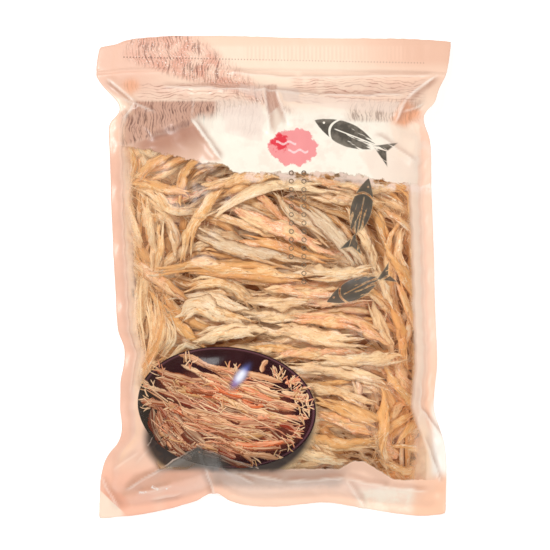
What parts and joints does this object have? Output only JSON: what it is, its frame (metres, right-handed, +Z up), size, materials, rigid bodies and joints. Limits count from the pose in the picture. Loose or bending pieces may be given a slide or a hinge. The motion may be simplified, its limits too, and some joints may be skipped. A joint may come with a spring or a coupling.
{
  "type": "pouch of shredded dried pollock",
  "caption": "Clear printed film pouch with a zip header and welded seams, packed full of shredded dried pollock, lying on its back.",
  "frame": {"origin": "under the middle of the pouch's plan, on the surface it lies on", "axes": "+X to the right across the pouch, +Y from the bottom seam to the zip header, +Z up out of the shown side"},
  "size_m": [0.3, 0.408, 0.0699],
  "materials": {
    "printed_film": "clear glossy plastic film with a pale peach print, the cream and golden fish shreds showing through it"
  },
  "bodies": {
    "root": {"pouch": "printed_film"}
  },
  "joints": []
}
